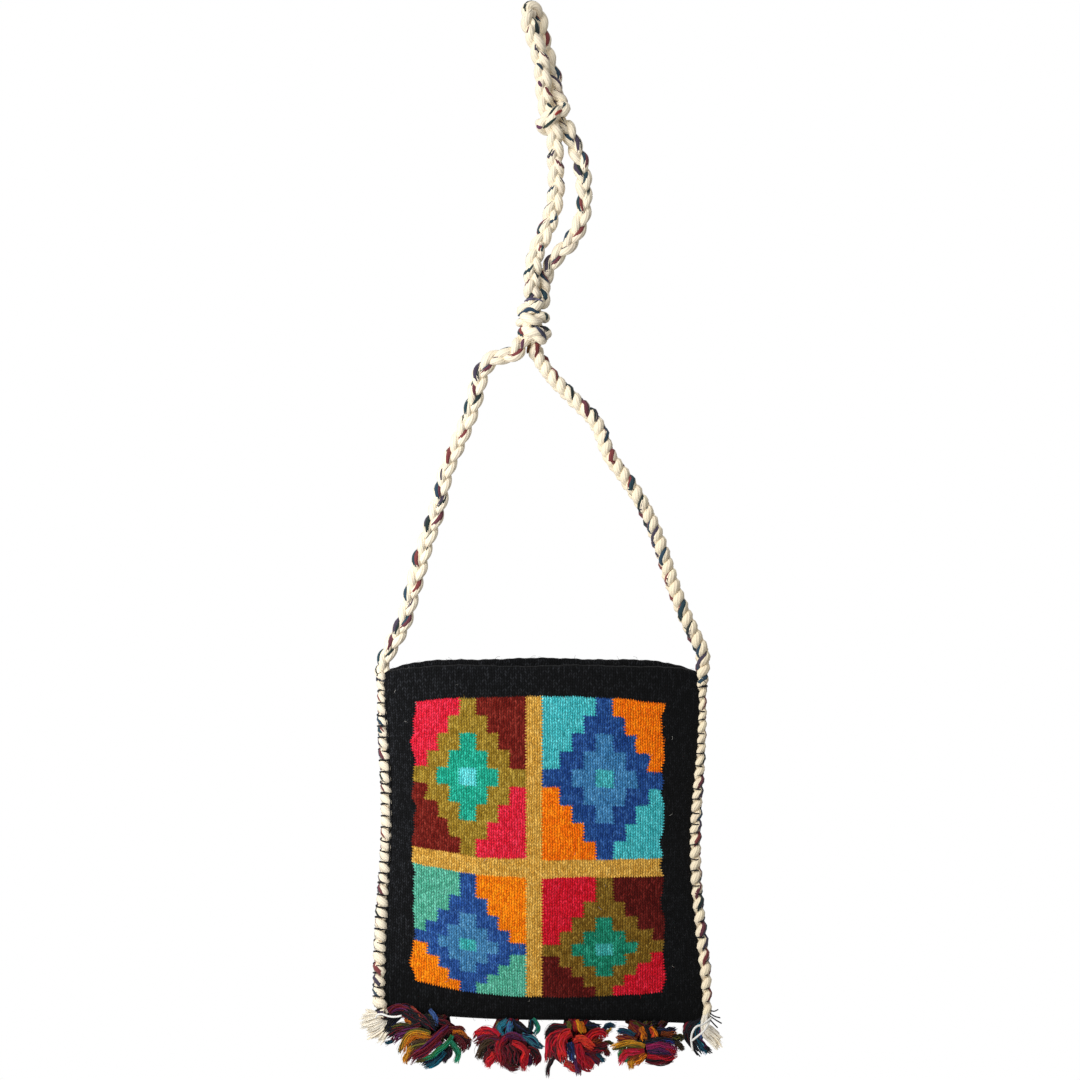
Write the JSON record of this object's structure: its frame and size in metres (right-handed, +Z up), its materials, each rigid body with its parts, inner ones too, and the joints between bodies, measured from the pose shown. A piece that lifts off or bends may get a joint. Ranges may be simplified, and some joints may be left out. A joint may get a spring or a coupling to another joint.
{
  "type": "woven shoulder bag",
  "caption": "Hand-woven wool shoulder bag: an open folded pouch with stepped-diamond panels and wool tassels, edged and hung by a knotted plaited cotton cord.",
  "frame": {"origin": "inner crown of the hanging loop at the top of the cord, where a peg or hook carries the bag", "axes": "+Z up along the hanging bag, +X to the viewer's right, -Y towards the viewer in front of the patterned side"},
  "size_m": [0.2831, 0.0372, 0.7796],
  "materials": {
    "woven_wool": "hand-woven black wool with coloured stepped-diamond panels",
    "plaited_cotton": "cream cotton plait with a few coloured yarns",
    "tassel_wool": "soft felted wool locks in many colours"
  },
  "bodies": {
    "root": {"woven_pouch": "woven_wool", "left_edge_cord": "plaited_cotton", "right_edge_cord": "plaited_cotton", "left_cord_tuft": "plaited_cotton", "right_cord_tuft": "plaited_cotton", "left_strap_leg": "plaited_cotton", "right_strap_leg": "plaited_cotton", "lower_knot": "plaited_cotton", "left_loop_run": "plaited_cotton", "right_loop_run": "plaited_cotton", "upper_knot": "plaited_cotton", "hanging_loop": "plaited_cotton", "wool_tassel_1": "tassel_wool", "wool_tassel_2": "tassel_wool", "wool_tassel_3": "tassel_wool", "wool_tassel_4": "tassel_wool"}
  },
  "joints": []
}
